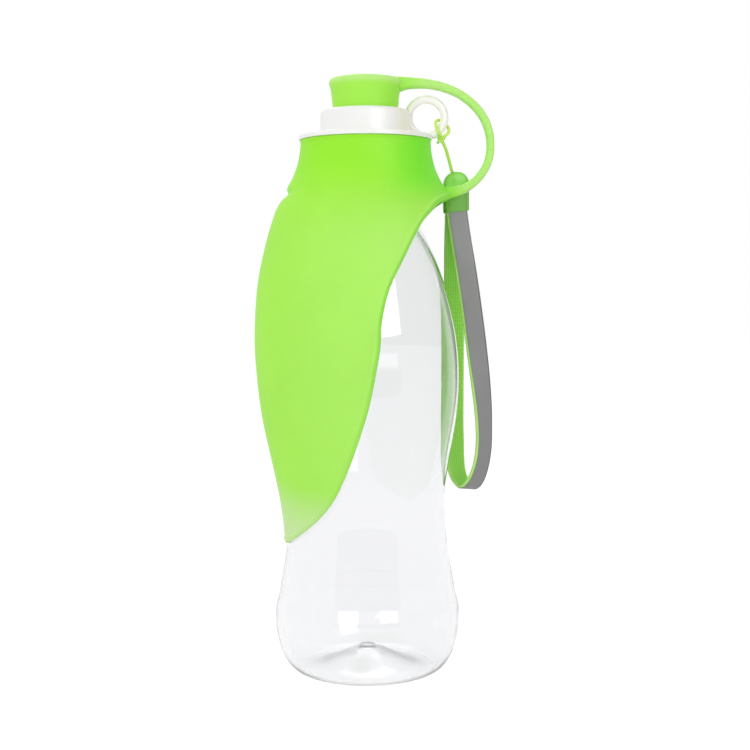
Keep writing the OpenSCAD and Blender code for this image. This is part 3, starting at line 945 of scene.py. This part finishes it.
def make_cord(sizes, colours):
    """The cord out of the clamp, up to its knot, round the ring's rod and back to the knot."""
    route = [*DROP_POINTS[::-1], *LOOP_POINTS]
    path = even_path(np.array(route) * MM, 0.35 * MM)
    finish = cord_braid(colours)
    cord = put_finish(tube("cord", path, sizes.cord / 2, 14), finish)
    knot = make_knot(sizes, finish)
    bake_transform(cord)
    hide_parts("cord_loop", "lanyard_cord")
    return cord


def make_knot(sizes, finish):
    """An overhand knot with its short tail."""
    t = np.linspace(0.35, FULL_TURN - 0.15, 60)
    size = np.array([0.399, 0.378, 0.336]) * MM
    trefoil = np.stack([np.sin(t) + 2 * np.sin(2 * t), -np.sin(3 * t),
                        np.cos(t) - 2 * np.cos(2 * t)], axis=1) * size
    body = trefoil + np.array(KNOT) * MM
    last, tail = body[-1], np.array(TAIL_END) * MM
    tail_line = smooth([body[-3], last, (last + tail) / 2 + (0, -0.0002, 0.0001), tail], 6)
    path = np.concatenate([body[:-1], tail_line[6:]])
    piece = put_finish(tube("cord_knot_piece", path, sizes.cord / 2 * 0.92, 12), finish)
    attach(piece, "top")
    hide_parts("cord_knot")
    return piece


def make_clamp(colours):
    """Cloudy green sleeve with a domed top, hollow inside, open below."""
    bottom, top, width, depth = 185.5, 201.6, 10.4, 5.2
    slot_wide, slot_deep = 8.9, 3.7
    dome = top - width / 2

    def up_dome(z):
        """Share of the way up the dome."""
        return np.clip((z - dome) / (top - dome), 0, 1)

    def outer(z):
        """Width, depth and height of the outside at a height."""
        narrow = math.sqrt(max(0, 1 - up_dome(z) ** 2))
        flat = max(0.0, 1 - up_dome(z) ** 3.2) ** 0.5
        return width * narrow, depth * (0.35 + 0.65 * flat) * min(1, narrow * 3), z

    rows = [
        (0.02, 0.02, top),
        *(outer(z) for z in np.linspace(dome, top, 22)[::-1][1:]),
        *(outer(z) for z in np.linspace(dome, bottom + 0.5, 14)[1:]),
        (width - 0.1, depth - 0.1, bottom + 0.18), (width - 0.5, depth - 0.5, bottom),
        (slot_wide + 0.4, slot_deep + 0.4, bottom),
        (slot_wide + 0.05, slot_deep + 0.05, bottom + 0.3),
        *((slot_wide, slot_deep, z) for z in np.linspace(bottom + 1.2, 193.6, 8)),
        (slot_wide - 0.4, slot_deep - 0.3, 194.2), (7.4, 2.4, 194.5), (1.4, 1.3, 194.9),
        (1.3, 1.3, 195.6), (0.02, 0.02, 195.7)]
    turn = Matrix.Rotation(math.radians(CLAMP_TURN), 3, "Z")
    x_way, y_way = np.array(turn @ Vector((1, 0, 0))), np.array(turn @ Vector((0, 1, 0)))
    points, rims = [], []
    for w, d, z in rows:
        section = rounded_section(w, d, 40, 4.2 if w > 3 else 2.2)
        slant = ramp(z * MM, bottom + 3, bottom) * (0.12 * section[:, :1] - 0.2)
        points.append((*CLAMP_AT, z) + section[:, :1] * x_way + section[:, 1:] * y_way
                      + slant * np.array([[0, 0, 1]]))
        # painted shade along the sides and the top of the dome
        from_middle = np.hypot(section[:, 0] / (width / 2), 0.9 * up_dome(z))
        rims.append(blend_share((from_middle - 0.72) / 0.28))
    piece = lay_grid("clamp", np.array(points) * MM, rim=np.array(rims) * 0.8)
    put_finish(piece, clamp_plastic(colours))
    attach(piece, "strap")
    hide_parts("lanyard_clamp")
    return piece


def ribbon(name, width, inner, outer, rounding, aside=0.0):
    """A flat band along the strap's line, from inner to outer off its middle line."""
    line = smooth(STRAP_POINTS, 10)
    spine = line[:, :3] * MM
    turn = np.radians(line[:, 3])
    dip = 0.14 * ramp(spine[:, 2], 87, 73)
    across = unit(np.stack([np.cos(turn), np.sin(turn), -dip], axis=1))
    outward = unit(np.cross(headings(spine), across))
    middle, half_thick = (outer + inner) / 2, (outer - inner) / 2
    corner = half_thick * rounding
    straight = width / 2 - corner
    flat = np.linspace(-1, 1, 9)
    over = [(straight * share, half_thick) for share in flat]
    right = [(straight + corner * math.cos(angle), half_thick * math.sin(angle))
             for angle in np.radians([60, 30, 0, -30, -60])]
    under = [(-x, -y) for x, y in over]
    left = [(-x, -y) for x, y in right]
    section = np.array([*over, *right, *under, *left, over[0]])
    rows = (spine[:, None, :] + across[:, None, :] * (section[None, :, :1] + aside)
            + outward[:, None, :] * (section[None, :, 1:] + middle))
    piece = lay_grid(name, with_ends(rows))
    lay_strap_uv(piece, spine, across, width)
    return piece


def lay_strap_uv(piece, spine, across, width):
    """Sets the share of the way across the strap in the piece's UV map."""
    mesh, places = piece.data, places_of(piece).astype(float)
    near = np.argmin(np.linalg.norm(places[:, None, :] - spine[None], axis=2), axis=1)
    sideways = np.einsum("ij,ij->i", places - spine[near], across[near])
    loops = np.zeros(len(mesh.loops), np.int32)
    mesh.loops.foreach_get("vertex_index", loops)
    uv = np.zeros(len(mesh.loops) * 2, np.float32)
    layer = mesh.uv_layers.active.data
    layer.foreach_get("uv", uv)
    uv = uv.reshape(-1, 2)
    uv[:, 0] = (sideways / width + 0.5)[loops]
    layer.foreach_set("uv", uv.reshape(-1))


def make_strap(sizes, colours):
    """Wrist loop of ribbed webbing with grey reflective tape on its outside."""
    half = sizes.webbing / 2
    glue, tape_thickness, bare_edge = 0.05 * MM, 0.2 * MM, 0.22 * MM
    webbing = ribbon("webbing", sizes.webbing_width, -half, half, 0.9)
    put_finish(webbing, ribbed_webbing(colours))
    tape = ribbon("tape", sizes.tape_width, half + glue, half + glue + tape_thickness, 1.0,
                  aside=(sizes.webbing_width - sizes.tape_width) / 2 - bare_edge)
    put_finish(tape, reflective_tape(colours))
    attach(webbing, "strap")
    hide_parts("strap_webbing")
    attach(tape, "strap")
    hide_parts("reflective_tape")


# ---- stage ----


def white_where_seen(tree):
    """A share that is 1 for rays that show the background: camera, glossy and transmitted."""
    path = tree.nodes.new("ShaderNodeLightPath")
    share = path.outputs["Is Camera Ray"]
    for kind in ("Is Glossy Ray", "Is Transmission Ray"):
        either = tree.nodes.new("ShaderNodeMath")
        either.operation = "MAXIMUM"
        tree.links.new(share, either.inputs[0])
        tree.links.new(path.outputs[kind], either.inputs[1])
        share = either.outputs[0]
    return share


def stage_card(name, place, wide, tall, turn=0.0):
    """An upright card that only shows as a reflection."""
    deselect()
    bpy.ops.mesh.primitive_plane_add(size=1, location=place)
    card = named(bpy.context.object, name)
    card.scale = (wide, tall, 1)
    card.rotation_euler = (math.pi / 2, 0, turn)
    bpy.ops.object.transform_apply(location=True, rotation=True, scale=True)
    card.visible_camera = card.visible_diffuse = card.visible_shadow = False
    card.visible_transmission = card.visible_volume_scatter = False
    return card


def floor_paint():
    """Pale floor that is seen as white and still takes a faint shadow."""
    paint = Finish("floor_paint")
    diffuse = paint.node("ShaderNodeBsdfDiffuse", {}, {"Color": (0.9, 0.9, 0.9, 1)})
    glow = paint.node("ShaderNodeEmission", {}, {"Color": (1, 1, 1, 1), "Strength": 1.18})
    most = paint.node("ShaderNodeMath", {"operation": "MULTIPLY"}, {
        0: white_where_seen(paint.tree), 1: 0.82})
    mix = paint.node("ShaderNodeMixShader", {}, {
        0: most.outputs[0], 1: diffuse.outputs[0], 2: glow.outputs[0]})
    paint.node("ShaderNodeOutputMaterial", {}, {"Surface": mix.outputs[0]})
    return paint.material


def screen_paper():
    """Paper as bright as the surround."""
    paper = Finish("screen_paper")
    lit = paper.node("ShaderNodeEmission", {}, {"Color": (1, 1, 1, 1), "Strength": 1.0})
    paper.node("ShaderNodeOutputMaterial", {}, {"Surface": lit.outputs[0]})
    return paper.material


def make_surround():
    """A world that is white where it is seen, and gives a softer light."""
    world = bpy.data.worlds.new("surround")
    bpy.context.scene.world = world
    world.use_nodes = True
    tree = world.node_tree
    tree.nodes.clear()
    mix = tree.nodes.new("ShaderNodeMixShader")
    tree.links.new(white_where_seen(tree), mix.inputs[0])
    light_strength, seen_strength = 0.6, 1.0
    for slot, strength in ((1, light_strength), (2, seen_strength)):
        background = tree.nodes.new("ShaderNodeBackground")
        background.inputs["Color"].default_value = (1, 1, 1, 1)
        background.inputs["Strength"].default_value = strength
        tree.links.new(background.outputs[0], mix.inputs[slot])
    out = tree.nodes.new("ShaderNodeOutputWorld")
    tree.links.new(mix.outputs[0], out.inputs["Surface"])


def make_stage():
    """Pale floor, white surround, a dark and a white card, and soft lamps."""
    deselect()
    bpy.ops.mesh.primitive_plane_add(size=6, location=(0, 0, -0.0001))
    floor = named(bpy.context.object, "floor")
    put_finish(floor, floor_paint())
    make_surround()
    dark = stage_card("dark_card", (0, -0.66, 0.08), 1.2, 0.16)
    put_finish(dark, Finish("card_paint").surface(Base_Color=(0.02, 0.02, 0.02, 1),
                                                  Roughness=0.9))
    screen = stage_card("screen", (0.142, -0.29, 0.156), 0.17, 0.05, math.radians(26))
    put_finish(screen, screen_paper())
    for name, place, target, wide, tall, watts, seen_by in LAMPS:
        deselect()
        bpy.ops.object.light_add(type="AREA", location=place)
        lamp = named(bpy.context.object, name)
        lamp.data.shape = "RECTANGLE"
        lamp.data.size, lamp.data.size_y = wide, tall
        lamp.data.energy = watts
        lamp.visible_glossy = lamp.visible_transmission = seen_by == "glossy"
        lamp.visible_diffuse = seen_by == "diffuse"
        aim = Vector(target) - Vector(place)
        lamp.rotation_mode = "QUATERNION"
        lamp.rotation_quaternion = aim.to_track_quat("-Z", "Y")


def make_camera():
    """The camera at the photograph's viewing angle."""
    deselect()
    bpy.ops.object.camera_add(location=(0.0034, -0.544, 0.1557))
    camera = named(bpy.context.object, "camera")
    camera.data.lens, camera.data.sensor_width = 64.8, 36
    tilt = Matrix.Rotation(math.radians(86.2), 4, "X") @ Matrix.Rotation(
        math.radians(-0.22), 4, "Z")
    camera.matrix_world = Matrix.Translation(camera.location) @ tilt
    bpy.context.scene.camera = camera


# ---- operators and panel ----


class BottleOperator:
    """What all the operators share: they build from the scene's sizes and colours."""
    bl_options = {"REGISTER", "UNDO"}

    def execute(self, context):
        self.build(context.scene.bottle_sizes, context.scene.bottle_colours)
        return {"FINISHED"}


class BOTTLE_OT_stage(BottleOperator, bpy.types.Operator):
    """Adds the floor, the surround, the lamps and the camera"""
    bl_idname = "bottle.stage"
    bl_label = "Stage"

    def build(self, sizes, colours):
        make_camera()
        make_stage()


class BOTTLE_OT_strap(BottleOperator, bpy.types.Operator):
    """Models the cord, its knot, the clamp and the wrist strap"""
    bl_idname = "bottle.strap"
    bl_label = "Cord, clamp and wrist strap"

    def build(self, sizes, colours):
        make_cord(sizes, colours)
        make_clamp(colours)
        make_strap(sizes, colours)


class BOTTLE_OT_bottle(BottleOperator, bpy.types.Operator):
    """Models the clear bottle"""
    bl_idname = "bottle.body"
    bl_label = "Bottle"

    def build(self, sizes, colours):
        make_bottle(sizes, colours)


class BOTTLE_OT_cap(BottleOperator, bpy.types.Operator):
    """Models the screw cap and finishes the washer inside it"""
    bl_idname = "bottle.cap"
    bl_label = "Screw cap"

    def build(self, sizes, colours):
        make_cap(colours)
        finish_washer(colours)


class BOTTLE_OT_bowl(BottleOperator, bpy.types.Operator):
    """Models the silicone collar with its drinking bowl"""
    bl_idname = "bottle.bowl"
    bl_label = "Collar and bowl"

    def build(self, sizes, colours):
        make_silicone(sizes, soft_finish(colours))


class BOTTLE_OT_stopper(BottleOperator, bpy.types.Operator):
    """Models the stopper and its tether"""
    bl_idname = "bottle.stopper"
    bl_label = "Stopper and tether"

    def build(self, sizes, colours):
        make_stopper(soft_finish(colours))
        make_tether(sizes, soft_finish(colours))


OPERATORS = (BOTTLE_OT_stage, BOTTLE_OT_strap, BOTTLE_OT_bottle, BOTTLE_OT_cap,
             BOTTLE_OT_bowl, BOTTLE_OT_stopper)


class BOTTLE_PT_panel(bpy.types.Panel):
    """Lists the pieces and the sizes and colours that shape them"""
    bl_idname = "BOTTLE_PT_panel"
    bl_label = "Travel water bottle"
    bl_space_type = "VIEW_3D"
    bl_region_type = "UI"
    bl_category = "Bottle"

    def draw(self, context):
        for operator in OPERATORS:
            self.layout.operator(operator.bl_idname)
        for group in (context.scene.bottle_sizes, context.scene.bottle_colours):
            for key in group.bl_rna.properties.keys():
                if key not in ("rna_type", "name"):
                    self.layout.prop(group, key)


CLASSES = (BottleSizes, BottleColours, *OPERATORS, BOTTLE_PT_panel)


def register():
    for cls in CLASSES:
        bpy.utils.register_class(cls)
    bpy.types.Scene.bottle_sizes = PointerProperty(type=BottleSizes)
    bpy.types.Scene.bottle_colours = PointerProperty(type=BottleColours)


def unregister():
    del bpy.types.Scene.bottle_sizes
    del bpy.types.Scene.bottle_colours
    for cls in reversed(CLASSES):
        bpy.utils.unregister_class(cls)


def main():
    register()
    bpy.context.scene.view_settings.view_transform = "Standard"
    bpy.ops.bottle.stage()
    bpy.ops.bottle.strap()
    bpy.ops.bottle.body()
    bpy.ops.bottle.cap()
    bpy.ops.bottle.bowl()
    bpy.ops.bottle.stopper()


if __name__ == "__main__":
    main()
